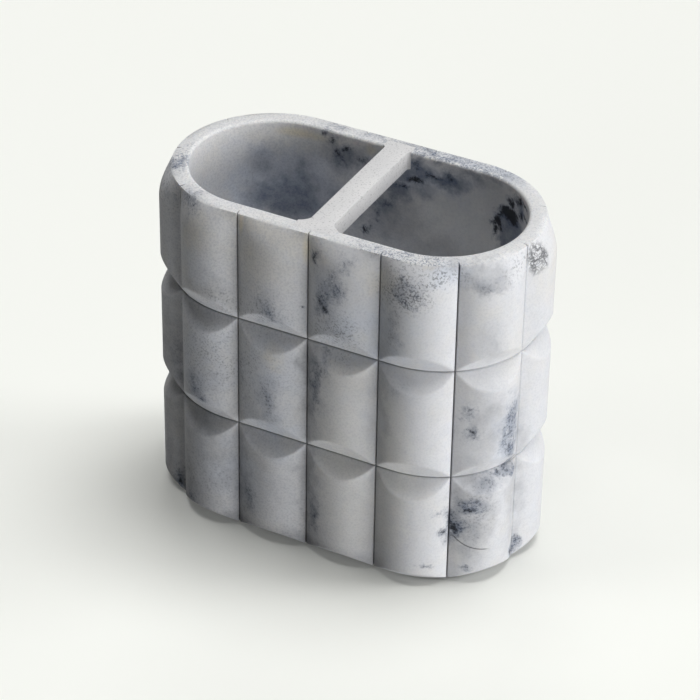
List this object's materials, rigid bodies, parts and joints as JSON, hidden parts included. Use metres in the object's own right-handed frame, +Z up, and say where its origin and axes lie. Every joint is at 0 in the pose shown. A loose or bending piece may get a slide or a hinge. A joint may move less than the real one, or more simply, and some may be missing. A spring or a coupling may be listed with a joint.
{
  "type": "toothbrush holder",
  "caption": "Free-standing racetrack-shaped cast stone holder with pillow-tile relief, a cross bar that splits the mouth, and non-slip pads.",
  "frame": {"origin": "middle of the base, on the plane of the pads' undersides", "axes": "+X along the long side, towards the right compartment; +Y to the back, where a column of tiles is centred; +Z up"},
  "size_m": [0.1106, 0.0612, 0.1007],
  "materials": {
    "veined_stone": "honed, pale grey-white with blue-grey clouds, dark specks and a few black veins",
    "plain_stone": "honed, plain off-white, with fine pits",
    "pad": "matte, pale translucent grey"
  },
  "bodies": {
    "root": {"cup_body": "veined_stone", "divider_bar": "plain_stone", "foot_pad_front_left": "pad", "foot_pad_front_right": "pad", "foot_pad_back_left": "pad", "foot_pad_back_right": "pad"}
  },
  "joints": []
}
